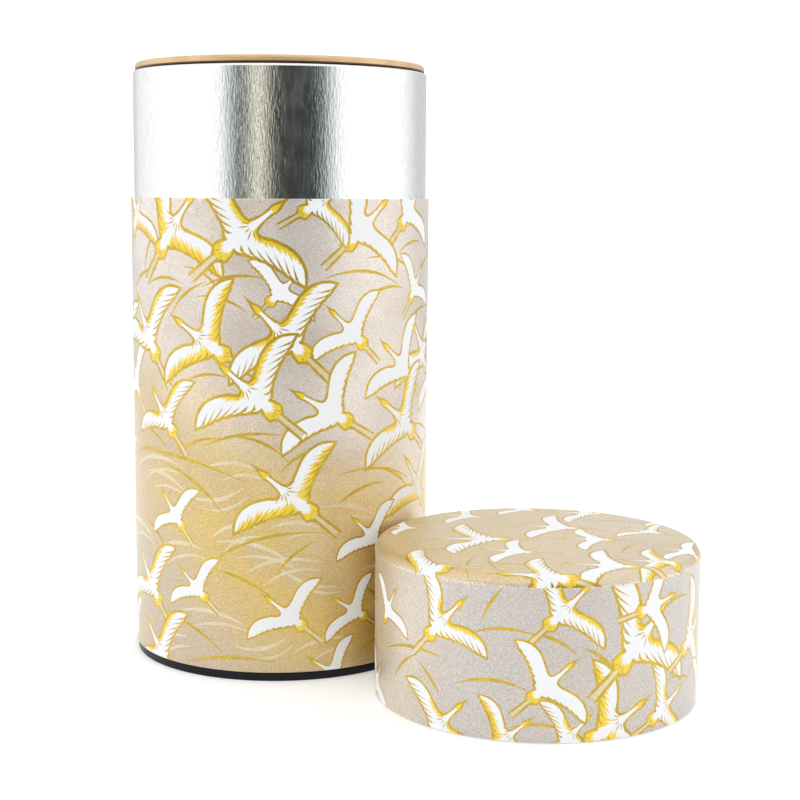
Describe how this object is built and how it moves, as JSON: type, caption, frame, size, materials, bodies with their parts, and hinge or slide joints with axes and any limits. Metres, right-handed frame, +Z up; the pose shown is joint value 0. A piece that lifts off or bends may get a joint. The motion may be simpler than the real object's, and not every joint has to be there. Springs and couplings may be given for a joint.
{
  "type": "coffee tin",
  "caption": "Paper-covered cylindrical coffee tin with a bare metal collar, a plugged inner lid with a knob, and its deep outer lid standing beside it.",
  "frame": {"origin": "centre of the tin's foot, on the surface it stands on", "axes": "+Z up the tin's axis; +X from the tin's axis to the centre of the outer lid that stands beside it"},
  "size_m": [0.1851, 0.093, 0.1828],
  "materials": {
    "tinplate": "satin brushed",
    "tinplate_body": "satin brushed",
    "black_lacquer": "semi-gloss",
    "washi_body": "matt printed paper",
    "gold_lacquer": "satin",
    "turned_knob": "satin",
    "tinplate_small": "satin",
    "rivet_metal": "satin",
    "tinplate_lid": "satin brushed",
    "tinplate_top": "satin brushed",
    "washi_top": "matt printed paper",
    "washi_side": "matt printed paper"
  },
  "bodies": {
    "tin": {"inner_sleeve": "tinplate", "body_tube": "tinplate_body", "base_plate": "black_lacquer", "body_paper": "washi_body"},
    "inner_lid": {"inner_lid_pan": "gold_lacquer", "inner_lid_knob": "turned_knob", "knob_washer": "tinplate_small", "knob_rivet": "rivet_metal"},
    "outer_lid": {"lid_band": "tinplate_lid", "lid_top_plate": "tinplate_top", "lid_top_paper": "washi_top", "lid_side_paper": "washi_side"}
  },
  "joints": [
    {"name": "inner_lid_lift", "type": "slide", "parent": "tin", "child": "inner_lid", "axis": [0, 0, 1], "range_m": [0, 0.06]},
    {"name": "outer_lid_lift", "type": "slide", "parent": "tin", "child": "outer_lid", "axis": [0, 0, 1], "range_m": [0, 0.2]}
  ]
}
